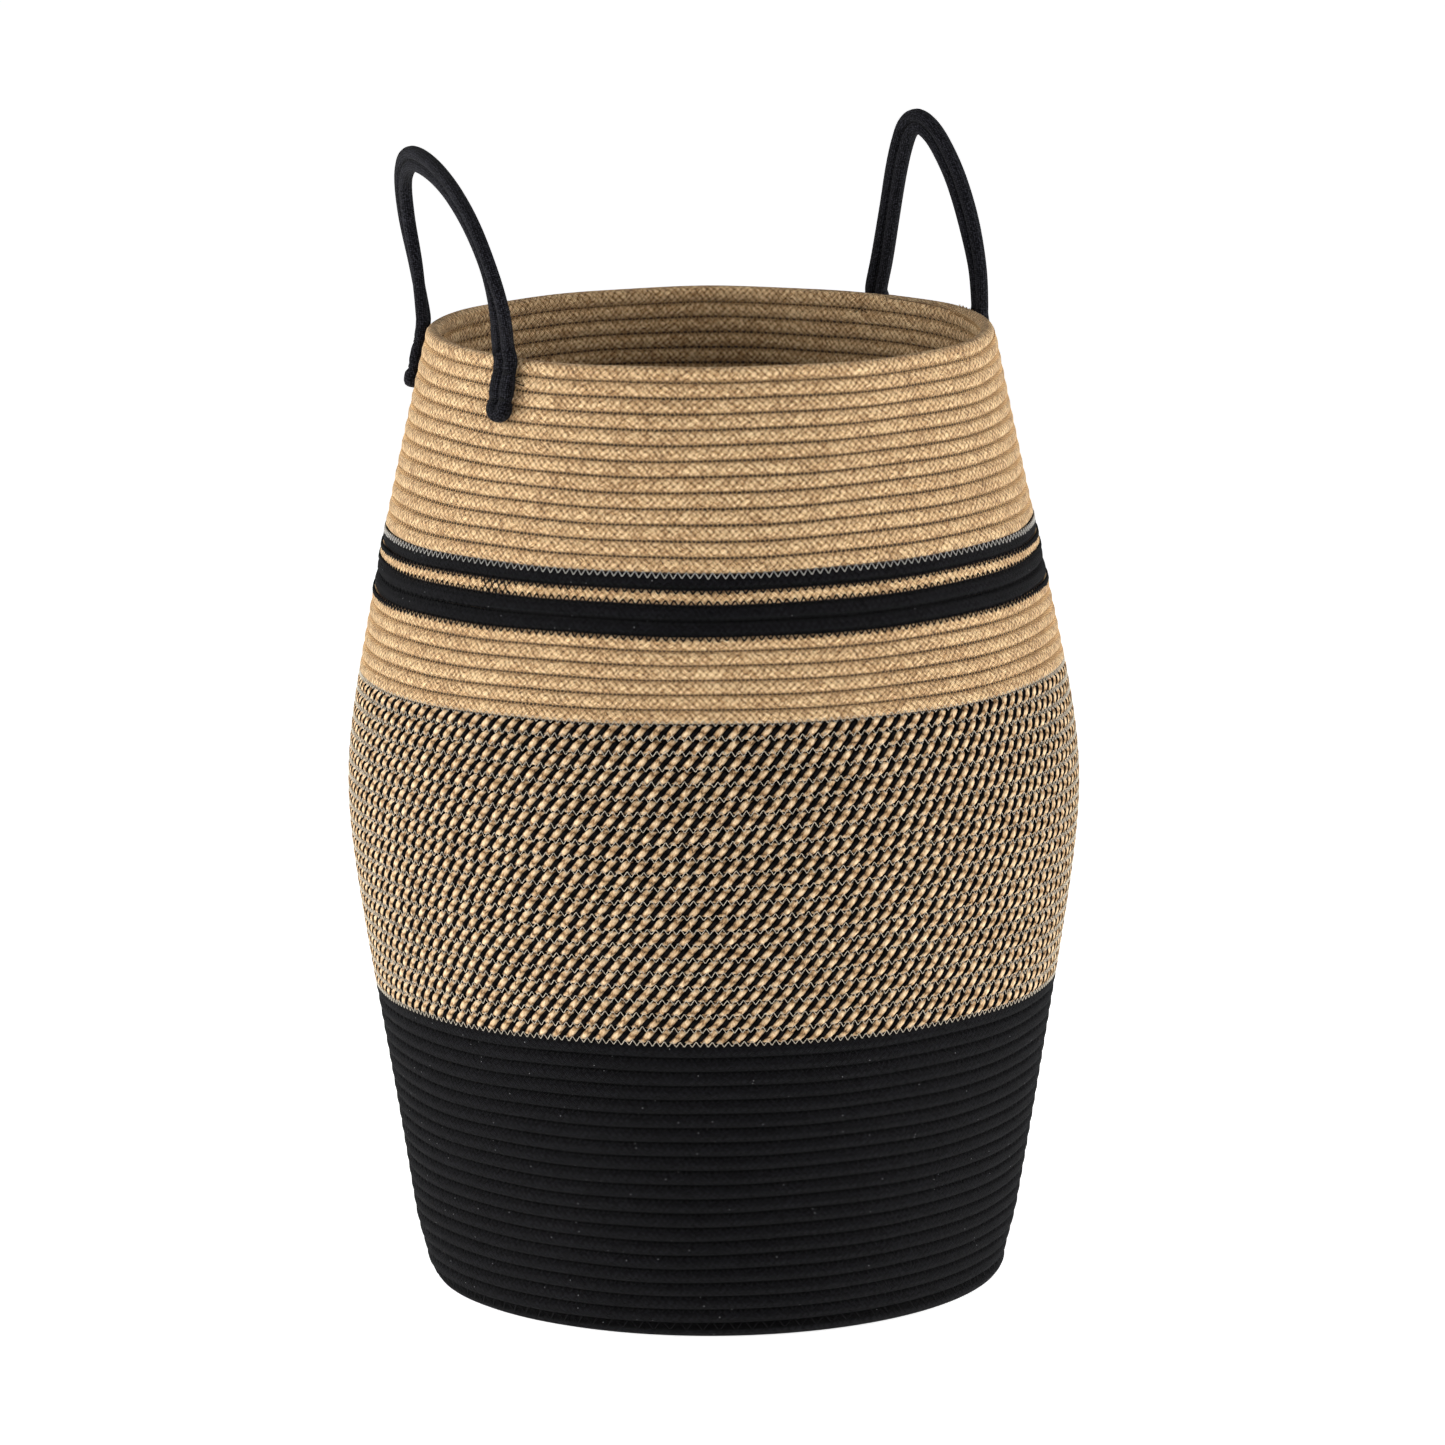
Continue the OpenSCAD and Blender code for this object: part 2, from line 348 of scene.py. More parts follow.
class Nodes:
    """Builds a material's node tree with short calls."""

    def __init__(self, name):
        self.material = bpy.data.materials.new(name)
        self.material.use_nodes = True
        self.tree = self.material.node_tree
        self.shader = self.tree.nodes["Principled BSDF"]

    def link(self, value, socket):
        if isinstance(value, (int, float, tuple)):
            socket.default_value = value
        else:
            self.tree.links.new(value, socket)

    def math(self, operation, a, b=0.0, c=0.0):
        node = self.tree.nodes.new("ShaderNodeMath")
        node.operation = operation
        for value, socket in zip((a, b, c), node.inputs):
            self.link(value, socket)
        return node.outputs[0]

    def clamp(self, value):
        return self.math("MINIMUM", self.math("MAXIMUM", value, 0.0), 1.0)

    def vary(self, value, noise, amount):
        """The value, raised or lowered by a noise between 0 and 1."""
        return self.math("MULTIPLY_ADD", self.math("SUBTRACT", noise, 0.5), amount, value)

    def half_wave(self, value):
        """0 at each whole number and 1 halfway between them."""
        return self.math("SINE", self.math("MULTIPLY", self.math("FRACT", value), math.pi))

    def mix(self, factor, a, b, kind="RGBA"):
        node = self.tree.nodes.new("ShaderNodeMix")
        node.data_type = kind
        self.link(factor, node.inputs["Factor"])
        self.link(a, node.inputs["A"])
        self.link(b, node.inputs["B"])
        return node.outputs["Result"]

    def uv(self):
        node = self.tree.nodes.new("ShaderNodeUVMap")
        node.uv_map = "Rope"
        split = self.tree.nodes.new("ShaderNodeSeparateXYZ")
        self.tree.links.new(node.outputs["UV"], split.inputs[0])
        return split.outputs["X"], split.outputs["Y"]

    def vector(self, x, y, z=0.0):
        node = self.tree.nodes.new("ShaderNodeCombineXYZ")
        for value, socket in zip((x, y, z), node.inputs):
            self.link(value, socket)
        return node.outputs[0]

    def scaled(self, x, y, x_scale, y_scale):
        return self.vector(self.math("MULTIPLY", x, x_scale), self.math("MULTIPLY", y, y_scale))

    def place(self):
        node = self.tree.nodes.new("ShaderNodeTexCoord")
        return node.outputs["Object"]

    def noise(self, vector, scale, detail=2.0, roughness=0.5):
        node = self.tree.nodes.new("ShaderNodeTexNoise")
        self.link(vector, node.inputs["Vector"])
        node.inputs["Scale"].default_value = scale
        node.inputs["Detail"].default_value = detail
        node.inputs["Roughness"].default_value = roughness
        return node.outputs[0]

    def random(self, vector):
        node = self.tree.nodes.new("ShaderNodeTexWhiteNoise")
        node.noise_dimensions = "3D"
        self.link(vector, node.inputs["Vector"])
        return node.outputs["Value"]

    def bump(self, height, distance, strength=1.0):
        node = self.tree.nodes.new("ShaderNodeBump")
        node.inputs["Distance"].default_value = distance
        node.inputs["Strength"].default_value = strength
        self.link(height, node.inputs["Height"])
        self.tree.links.new(node.outputs["Normal"], self.shader.inputs["Normal"])

    def finish(self, colour, roughness, sheen, specular):
        self.link(colour, self.shader.inputs["Base Color"])
        self.shader.inputs["Roughness"].default_value = roughness
        self.shader.inputs["Sheen Weight"].default_value = sheen
        self.shader.inputs["Specular IOR Level"].default_value = specular
        return self.material


def rgb(*levels):
    """An sRGB colour of 0 to 255 as a linear one."""
    shares = [level / 255 for level in levels]
    linear = [c / 12.92 if c <= 0.04045 else ((c + 0.055) / 1.055) ** 2.4 for c in shares]
    return (*linear, 1.0)


def three_tones(m, value, dark, middle, light):
    """Colour from dark at 0 through middle at a half to light at 1."""
    low = m.math("MULTIPLY", value, 2.0)
    high = m.math("SUBTRACT", low, 1.0)
    colour = m.mix(m.clamp(low), dark, middle)
    return m.mix(m.clamp(high), colour, light)


def braid_cells(m, u, v):
    """The braid's slanting strands, slightly uneven: the distance across and along the strand
    on top, in cells, and which of the two sets it belongs to."""
    warp = m.noise(m.scaled(u, v, 110.0, 110.0), 1.0, 3.0)
    p = m.math("MULTIPLY_ADD", u, 1 / BRAID_CELL, m.math("MULTIPLY", warp, 1.5))
    q = m.math("MULTIPLY", v, BRAID_CELLS_ROUND / ROPE_GIRTH)
    a, b = m.math("ADD", p, q), m.math("SUBTRACT", p, q)
    cells = m.math("ADD", m.math("FLOOR", a), m.math("FLOOR", b))
    over = m.math("FLOORED_MODULO", cells, 2.0)
    return m.mix(over, a, b, "FLOAT"), m.mix(over, b, a, "FLOAT"), over


def braid_material(name, light, middle, dark, sheen=0.08, specular=0.3, lint=0.0,
                   seams=2, seam_start=0.2):
    """A braided rope: two sets of slanting strands pass over and under each other, each strand
    made of three yarns of twisted fibre. Its bottom, and with 2 seams its top, is in shadow,
    from where the cosine of the angle to it passes seam_start. lint is the share of pale specks."""
    m = Nodes(name)
    u, v = m.uv()
    across, along, over = braid_cells(m, u, v)
    arch = m.half_wave(across)
    bow = m.half_wave(along)
    yarn = m.math("ABSOLUTE", m.math("SINE", m.math("MULTIPLY", across, YARNS * math.pi)))
    stretched = m.vector(m.math("MULTIPLY", across, 9.0), m.math("MULTIPLY", along, 1.6), over)
    fibre = m.noise(stretched, 1.0, 2.0, 0.6)
    sunk = m.math("MULTIPLY_ADD", bow, 0.32, 0.68)
    strand = m.math("MULTIPLY", m.math("POWER", arch, 0.3), sunk)
    height = m.math("MULTIPLY", strand, m.math("MULTIPLY_ADD", yarn, 0.85, 0.12))
    height = m.vary(height, fibre, 0.9)
    # Where the strands dive under each other the colour is made darker: painted shade in the gaps
    # between strands.
    pinch = m.math("MAXIMUM", m.math("SUBTRACT", 0.6, arch), 0.0)
    dive = m.math("MAXIMUM", m.math("SUBTRACT", 0.6, bow), 0.0)
    corner = m.clamp(m.math("MULTIPLY", m.math("MULTIPLY", pinch, dive), 4.0))
    one_yarn = m.math("FLOOR", m.math("MULTIPLY", across, YARNS))
    tone = m.random(m.vector(one_yarn, m.math("FLOOR", along), over))
    # The colour follows the height: sunk parts darker and crowns lighter, partly painted shade and
    # painted highlight, along with each yarn's own random tone.
    value = m.vary(height, tone, 0.5)
    value = m.math("SUBTRACT", value, m.math("MULTIPLY", corner, 0.6))
    value = m.vary(value, m.noise(m.place(), 30.0, 3.0), 0.22)
    turn = m.math("COSINE", m.math("MULTIPLY", v, seams * 2 * math.pi / ROPE_GIRTH))
    past = m.math("SUBTRACT", turn, seam_start)
    value = m.math("SUBTRACT", value, m.clamp(m.math("MULTIPLY", past, 2.0 * seams)))
    colour = three_tones(m, value, dark, middle, light)
    if lint:
        columns = m.math("FLOOR", m.math("MULTIPLY", u, 2500.0))
        rows = m.math("FLOOR", m.math("MULTIPLY", v, 2500.0))
        speck = m.random(m.vector(columns, rows))
        colour = m.mix(m.math("GREATER_THAN", speck, 1 - lint), colour, rgb(150, 150, 152))
    m.bump(height, 0.0007)
    return m.finish(colour, 0.85, sheen, specular)


def strand_material(name, light, middle, dark, sheen, depth, spread, quarter, specular=0.3):
    """A strand of the laid rope: lumpy yarns that run nearly level across it. It is in shadow
    at its edges, in the grooves between strands, and at the seams with the rows above and
    below. spread is the angle it takes of the rope, quarter its turn ahead of the first one."""
    m = Nodes(name)
    u, v = m.uv()
    share = m.math("MULTIPLY_ADD", v, 1 / STRAND_GIRTH, -0.5)
    around = m.math("MULTIPLY_ADD", u, math.pi / PERIOD, quarter * math.pi / 2)
    around = m.math("MULTIPLY_ADD", share, math.radians(spread) / 0.6, around)
    warp = m.noise(m.scaled(u, v, 260.0, 260.0), 1.0, 2.0)
    level = m.math("MULTIPLY_ADD", u, 180.0, m.math("MULTIPLY", warp, 2.4))
    level = m.math("MULTIPLY_ADD", around, 1.9, level)
    yarn = m.math("ABSOLUTE", m.math("SINE", level))
    fibre = m.noise(m.scaled(u, level, 700.0, 1.4), 1.0, 3.0, 0.6)
    height = m.math("MULTIPLY", m.math("POWER", yarn, 0.7), 0.75)
    height = m.vary(height, fibre, 1.1)
    patch = m.noise(m.place(), 70.0, 3.0)
    # The colour follows the yarns' height: painted shade in the hollows between yarns and painted
    # highlight on their crowns, besides patches of real tone.
    value = m.vary(m.math("ADD", height, 0.10), patch, 0.5)
    ragged = m.math("MULTIPLY", m.math("SUBTRACT", warp, 0.5), 0.10)
    edge = m.math("ADD", m.math("ABSOLUTE", share), ragged)
    groove = m.clamp(m.math("MULTIPLY", m.math("SUBTRACT", edge, 0.255), 11.0))
    turn = m.math("ADD", m.math("ABSOLUTE", m.math("SINE", around)), ragged)
    seam = m.clamp(m.math("MULTIPLY", m.math("SUBTRACT", turn, 0.84), 7.0))
    value = m.math("SUBTRACT", value, m.math("MAXIMUM", groove, seam))
    colour = three_tones(m, value, dark, middle, light)
    m.bump(height, depth)
    return m.finish(colour, 0.85, sheen, specular)


def thread_material(name, light, dark, specular=0.35):
    """Sewing thread: two tight plies."""
    m = Nodes(name)
    u, v = m.uv()
    ply = m.math("SINE", m.math("MULTIPLY_ADD", u, 5200.0, m.math("MULTIPLY", v, 3000.0)))
    patch = m.noise(m.place(), 90.0, 2.0)
    # The colour follows the plies: painted shade in the groove between them and painted highlight
    # on their crowns.
    value = m.vary(m.math("MULTIPLY_ADD", ply, 0.45, 0.5), patch, 0.8)
    colour = m.mix(m.clamp(value), dark, light)
    m.bump(ply, 0.00006)
    return m.finish(colour, 0.6, 0.0, specular)


def felt_material(name, light, dark):
    """Brushed cotton cord of the handles: a fine knit under short fibres."""
    m = Nodes(name)
    u, v = m.uv()
    slant = m.math("MULTIPLY_ADD", u, 800.0, m.math("MULTIPLY", v, 450.0))
    steep = m.math("SUBTRACT", m.math("MULTIPLY", v, 800.0), m.math("MULTIPLY", u, 450.0))
    fibre = m.noise(m.vector(slant, steep), 1.0, 3.0, 0.6)
    knit_u = m.math("MULTIPLY", u, 3000.0)
    knit_v = m.math("MULTIPLY", v, 2600.0)
    right = m.math("SINE", m.math("ADD", knit_u, knit_v))
    left = m.math("SINE", m.math("SUBTRACT", knit_u, knit_v))
    height = m.math("MULTIPLY_ADD", m.math("MULTIPLY", right, left), 0.12, fibre)
    patch = m.noise(m.place(), 160.0, 3.0)
    value = m.vary(0.16, height, 5.0)
    value = m.vary(value, patch, 0.7)
    colour = m.mix(m.clamp(value), dark, light)
    m.bump(height, 0.0009)
    return m.finish(colour, 0.9, 0.03, 0.04)


# Each rope's light tone stands partly for the lit crowns of its yarns and its dark tone partly for
# the shade in its hollows: painted highlight and painted shade.
JUTE_TONES = (rgb(255, 230, 182), rgb(202, 155, 102), rgb(50, 27, 8))
JUTE = braid_material("jute_braid", *JUTE_TONES)
RIM_JUTE = braid_material("jute_rim_braid", *JUTE_TONES, seams=1, seam_start=0.8)
BLACK_BRAID = braid_material(
    "black_braid", rgb(22, 22, 26), rgb(8, 8, 10), rgb(2, 2, 3), 0.03, 0.03, 0.0003,
)
JUTE_STRAND = strand_material(
    "jute_strand", rgb(240, 212, 172), rgb(177, 139, 96), rgb(38, 22, 9), 0.05, 0.0006,
    JUTE_SPREAD, 0,
)
BLACK_STRAND = strand_material(
    "black_strand", rgb(20, 19, 20), rgb(7, 6, 6), rgb(2, 1, 1), 0.0, 0.0005,
    BLACK_SPREAD, 1, 0.03,
)
JUTE_THREAD = thread_material("jute_thread", rgb(214, 176, 126), rgb(134, 98, 58))
CREAM_THREAD = thread_material("cream_thread", rgb(214, 205, 188), rgb(150, 140, 122))
GREY_THREAD = thread_material("grey_thread", rgb(190, 187, 181), rgb(128, 125, 120))
BLACK_THREAD = thread_material("black_thread", rgb(20, 20, 22), rgb(5, 5, 6), 0.08)
FELT = felt_material("black_felt", rgb(46, 46, 52), rgb(3, 3, 5))


# ---------------------------------------------------------------- rope rows

def dress(piece, material, nodes):
    """Gives a piece of the basket its material, attaches it to the basket's body and hides the CAD
    nodes that it stands for.
    """
    piece.data.materials.append(material)
    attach(piece, "basket")
    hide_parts(*nodes)


def braided_rope(name, start, end, material, slot, nodes, per_turn=330):
    """A length of braided rope from one number of turns to another."""
    turns = np.linspace(start, end, int((end - start) * per_turn) + 2)
    points, normals, ups = on_coil(turns)
    line = (points, normals, ups, ROPE_R, pitch_at(turns)[:, None] * ROW_SHARE)
    tube = sweep(name, [line], section_shape(12, ROW_POWER))
    dress(tube, material, nodes)


def wall_bands():
    """First and last row of each band of rope, from the floor up."""
    bands, first = {}, 0
    for node, count in (
        ("black_wall_coil", BLACK[0]), ("twisted_wall_coil", TWISTED[0]),
        ("lower_jute_coil", LOWER_JUTE[0]), ("black_double_stripe", 2), ("jute_stripe", 1),
        ("black_single_stripe", 1), ("upper_jute_coil", UPPER_ROWS - 1),
    ):
        bands[node] = (first, first + count - 1)
        first += count
    return bands


BANDS = wall_bands()


def rim_rope():
    """The last turn, which thins at its end and sinks onto the turn below."""
    turns = np.linspace(RIM_END - 1, RIM_END, 420)
    thin = smooth((turns - RIM_END + TAPER_TURNS) / TAPER_TURNS)
    less_out, less_up = END_THINNING
    points, normals, ups = on_coil(turns, 0.5 - END_SINK * thin, -END_INWARD * thin)
    half_up = pitch_at(turns) * (ROW_SHARE - less_up * thin)
    half_out = ROPE_R * (1 - less_out * thin)
    line = (points, normals, ups, half_out[:, None], half_up[:, None])
    tube = sweep("rim_turn_rope", [line], section_shape(16, 2.4))
    dress(tube, RIM_JUTE, ["rim_turn"])


def band_ropes(node, first, last):
    """A band of braided rope, in lengths of about five rows."""
    start = first + JOIN
    end = RIM_END - 1 if node == "upper_jute_coil" else last + 1 + JOIN
    black = node.startswith("black")
    material, slot = (BLACK_BRAID, "black_rope") if black else (JUTE, "jute_rope")
    parts = max(1, round((last - first) / 5))
    for part in range(parts):
        low = start + (end - start) * part / parts
        high = start + (end - start) * (part + 1) / parts
        braided_rope(f"{node}_rope_{part + 1}", low, high, material, slot, [node])


def floor_ropes():
    """The floor's spiral, in two lengths, the inner one with fewer points to a turn."""
    black = (BLACK_BRAID, "black_rope", ["base_coil"])
    inner_rows = 12
    inner_end = inner_rows - FLOOR_ROWS
    braided_rope("base_coil_inner_rope", -FLOOR_ROWS - CENTRE_TURNS, inner_end, *black, 150)
    braided_rope("base_coil_outer_rope", inner_end, JOIN, *black, 260)


def ropes():
    """Every braided band, the floor and the rim."""
    for node, (first, last) in BANDS.items():
        if node != "twisted_wall_coil":
            band_ropes(node, first, last)
    floor_ropes()
    rim_rope()


# ---------------------------------------------------------------- twisted rope

def twist_periods(turns):
    """Colour periods passed at each number of turns. Each row starts about half a period on
    from the one below, more or less, as the rope's length happens to fall."""
    first, last = BANDS["twisted_wall_coil"]
    ends = np.arange(first - 1, last + 3)
    middle, _, _ = on_coil(ends)
    whole = np.round(2 * math.pi * np.hypot(middle[:, 0], middle[:, 1]) / PERIOD)
    half, jitter = PERIOD_SHIFTS
    shift = half + np.random.default_rng(5).uniform(-jitter, jitter, len(ends))
    return np.interp(turns, ends, np.cumsum(whole + shift))


def twisted_strand(name, index, spread, first, last, material):
    """One of the laid rope's strands over some rows, wound round the other three. Its section
    is a wedge with a rounded outside, and the rope's is pressed nearly square."""
    per_turn = 760
    turns = np.linspace(first + JOIN, last + 1 + JOIN, (last + 1 - first) * per_turn)
    points, normals, ups = on_coil(turns)
    periods = twist_periods(turns)
    phase = math.pi * periods[:, None] + 2 * math.pi * index / STRANDS
    lobes = np.radians(np.array((0,) + LOBE_SHARES) * spread)
    sizes = np.array((0,) + LOBE_SIZES)
    c, s = np.cos(phase), np.sin(phase)
    around = phase + lobes
    squareness = np.abs(np.cos(around)) ** STRAND_POWER + np.abs(np.sin(around)) ** STRAND_POWER
    pressed = STRAND_R * squareness ** (-1 / STRAND_POWER)
    along = PERIOD * (periods - math.floor(periods[0]))
    line = (points, c * normals + s * ups, c * ups - s * normals, pressed, pressed, along)
    section = (sizes * np.cos(lobes), sizes * np.sin(lobes))
    dress(sweep(name, [line], section), material, ["twisted_wall_coil"])


def twisted_rope():
    """The four strands, jute and black in turn, in two lengths."""
    first, last = BANDS["twisted_wall_coil"]
    middle = (first + last) // 2
    strands = (("jute", JUTE_SPREAD, JUTE_STRAND), ("black", BLACK_SPREAD, BLACK_STRAND)) * 2
    for index, (colour, spread, material) in enumerate(strands):
        for part, start, end in (("lower", first, middle), ("upper", middle + 1, last)):
            name = f"twisted_{colour}_{index // 2 + 1}_{part}"
            twisted_strand(name, index, spread, start, end, material)


# ---------------------------------------------------------------- seams

# Low and high are how far the thread reaches under and over the seam. Out is how far it lies
# out of the rope's middle line.
Stitch = namedtuple("Stitch", "material slot node period low high thread_r out")


def zigzag(first, last, stitch, side):
    """Zigzag stitches over the seams above rows first to last, outside (side 1) or inside (-1):
    a thread that goes from low to high and back in each period, a little unevenly."""
    start, end = first + JOIN, min(last + 1 + JOIN, TOP_SEAM_END)
    middle, _, _ = on_coil(np.array([start, end]), 1.0)
    length = math.pi * np.hypot(middle[:, 0], middle[:, 1]).sum() * (end - start)
    count = int(length / (stitch.period / 2))
    turns = np.linspace(start, end, count)
    reach = np.where(np.arange(count) % 2 == 0, -stitch.low, stitch.high)
    reach = reach * np.random.default_rng(count).uniform(0.88, 1.12, count)
    hole = 0.07 * (turns[1] - turns[0])
    turns = np.stack([turns - hole, turns + hole], 1).ravel()
    reach = np.repeat(reach, 2)
    points, normals, ups = on_coil(turns, 1.0 + reach / pitch_at(turns), side * stitch.out)
    across = unit(np.cross(normals, np.gradient(points, axis=0)))
    return points, normals, across, stitch.thread_r, stitch.thread_r


def seams(name, bands, stitch, inside=False):
    """The zigzags over the seams above some rows, given as (first, last)."""
    side = -1 if inside else 1
    lines = [zigzag(first, last, stitch, side) for first, last in bands]
    thread = sweep(name, lines, section_shape(4, 2.0))
    dress(thread, stitch.material, [stitch.node])


def stitching():
    """All the zigzag stitching, in the colour that each seam has. Where a black stripe meets
    jute, the stitches reach further over the jute, as teeth."""
    black, twist, low, double, stripe, single, upper = BANDS.values()
    twist_middle = twist[0] + 10
    inner_floor = 6 - FLOOR_ROWS    # the floor's seams show no stitches nearer its centre
    plain = Stitch(BLACK_THREAD, "black_thread", "black_zigzag_thread",
                   period=0.0052, low=0.0018, high=0.0018, thread_r=0.0003, out=0.0032)
    up_teeth = plain._replace(period=0.0044, low=0.0006, high=0.0023, thread_r=0.00042, out=0.0041)
    down_teeth = up_teeth._replace(low=0.0023, high=0.0006)
    grey = Stitch(GREY_THREAD, "grey_thread", "grey_zigzag_thread",
                  period=0.0044, low=0.0024, high=0.0006, thread_r=0.00024, out=0.0041)
    cream = Stitch(CREAM_THREAD, "cream_thread", "cream_seam_thread",
                   period=0.0042, low=0.0008, high=0.0019, thread_r=0.00020, out=0.0038)
    jute = Stitch(JUTE_THREAD, "jute_thread", "jute_seam_thread",
                  period=0.0044, low=0.0016, high=0.0016, thread_r=0.00032, out=0.0033)
    for part, inside in (("", False), ("_inside", True)):
        seams("black_double_stripe_stitches" + part, [(double[0], double[0])], plain, inside)
        seams("cream_stitches_upper" + part, [(twist_middle + 1, twist[1])], cream, inside)
        seams("jute_stitches_lower" + part, [(low[0], low[1] - 1)], jute, inside)
        seams("jute_stitches_upper" + part, [upper], jute, inside)
        seams("black_zigzag_up" + part, [(double[1], double[1])], up_teeth, inside)
        seams("black_zigzag_down" + part, [(low[1], low[1]), stripe], down_teeth, inside)
        seams("grey_zigzag" + part, [single], grey, inside)
    seams("cream_stitches_lower", [(twist[0] - 1, twist_middle)], cream)
    wall = plain._replace(node="black_seam_thread", period=0.0058)
    seams("black_stitches_wall", [(black[0], black[1] - 1)], wall)
    seams("black_stitches_floor", [(inner_floor, black[0] - 1)], wall)


def hand_stitches(name, azimuth, row, ends, side=1):
    """Black stitches made by hand over a row of rope at an azimuth, outside or inside. Each is
    a pair of ends, in metres along the row and in rows up from the rope's lower edge."""
    turns = row - 1 + ((azimuth - CAMERA_AZIMUTH) % 360) / 360
    middle, _, _ = on_coil(np.array([turns]))
    girth = 2 * math.pi * np.hypot(middle[0, 0], middle[0, 1])
    thread_r, clear, flattest = 0.0003, 0.0001, 0.35
    t = np.linspace(0, 1, 13)
    lines = []
    for (x0, y0), (x1, y1) in ends:
        x, y = x0 + (x1 - x0) * t, y0 + (y1 - y0) * t
        from_middle = np.abs(2 * (y % 1) - 1)
        bulge = np.clip(1 - from_middle ** ROW_POWER, flattest, 1) ** (1 / ROW_POWER)
        out = side * (ROPE_R * bulge + clear)
        points, normals, ups = on_coil(turns + x / girth, y, out)
        across = unit(np.cross(normals, np.gradient(points, axis=0)))
        lines.append((points, normals, across, thread_r, thread_r))
    thread = sweep(name, lines, section_shape(5, 2.0))
    dress(thread, BLACK_THREAD, ["black_zigzag_thread"])


def crossed_stitches(count):
    """Pairs of stitches that cross each other in a row."""
    pitch, rising, falling = 0.0045, 0.0050, 0.0047
    low, high = 0.02, 0.98
    ends = []
    for k in range(count):
        x = pitch * (k - 2)
        ends += [((x, low), (x + rising, high)), ((x, high), (x + falling, low))]
    return ends


def repairs():
    """The crossed stitches over the joins in the rope, and the handles' stitches where they
    come through the wall under the rim."""
    stripe = BANDS["jute_stripe"][0]
    hand_stitches("join_stitches", JOIN_STITCH_AZIMUTH, stripe, crossed_stitches(4))
    for node, (first, _) in list(BANDS.items())[1:]:
        hand_stitches(node + "_join_stitches", JOIN_AZIMUTH, first, crossed_stitches(3))
    through = [
        ((-0.004, 0.85), (0.0015, 1.0)), ((0.0022, 1.1), (0.0052, 1.05)),
        ((-0.001, 1.2), (0.004, 0.8)),
    ]
    for side, azimuth, half_span in HANDLES:
        for leg, end in ((1, "front"), (-1, "back")):
            name = f"{side}_handle_{end}_inside_stitches"
            hand_stitches(name, azimuth + leg * half_span, RIM_ROW - 1, through, -1)
    tails = [
        ((0.0060, 0.70), (0.0108, 0.95)), ((0.0062, 0.45), (0.0132, 0.30)),
        ((0.006, 0.6), (0.010, 0.5)),
    ]
    _, azimuth, half_span = HANDLES[0]
    hand_stitches("left_handle_thread_tails", azimuth + half_span, RIM_ROW - 1, tails)


ropes()
twisted_rope()
stitching()
repairs()


# ---------------------------------------------------------------- handles

def turned(vector_r, vector_t, vector_z, azimuth):
    """A vector given outward, around and up at an azimuth in degrees."""
    c, s = math.cos(math.radians(azimuth)), math.sin(math.radians(azimuth))
    return np.array([vector_r * c - vector_t * s, vector_r * s + vector_t * c, vector_z])


def curve_through(points, steps):
    """A smooth curve through a list of points."""
    points = np.array(points, float)
    out = []
    last = len(points) - 1
    for i in range(last):
        a, b, c, d = points[max(i - 1, 0)], points[i], points[i + 1], points[min(i + 2, last)]
        for j in range(steps):
            t = j / steps
            out.append(0.5 * (2 * b + (c - a) * t + (2 * a - 5 * b + 4 * c - d) * t ** 2
                              + (3 * b - a - 3 * c + d) * t ** 3))
    out.append(points[last])
    return np.array(out)


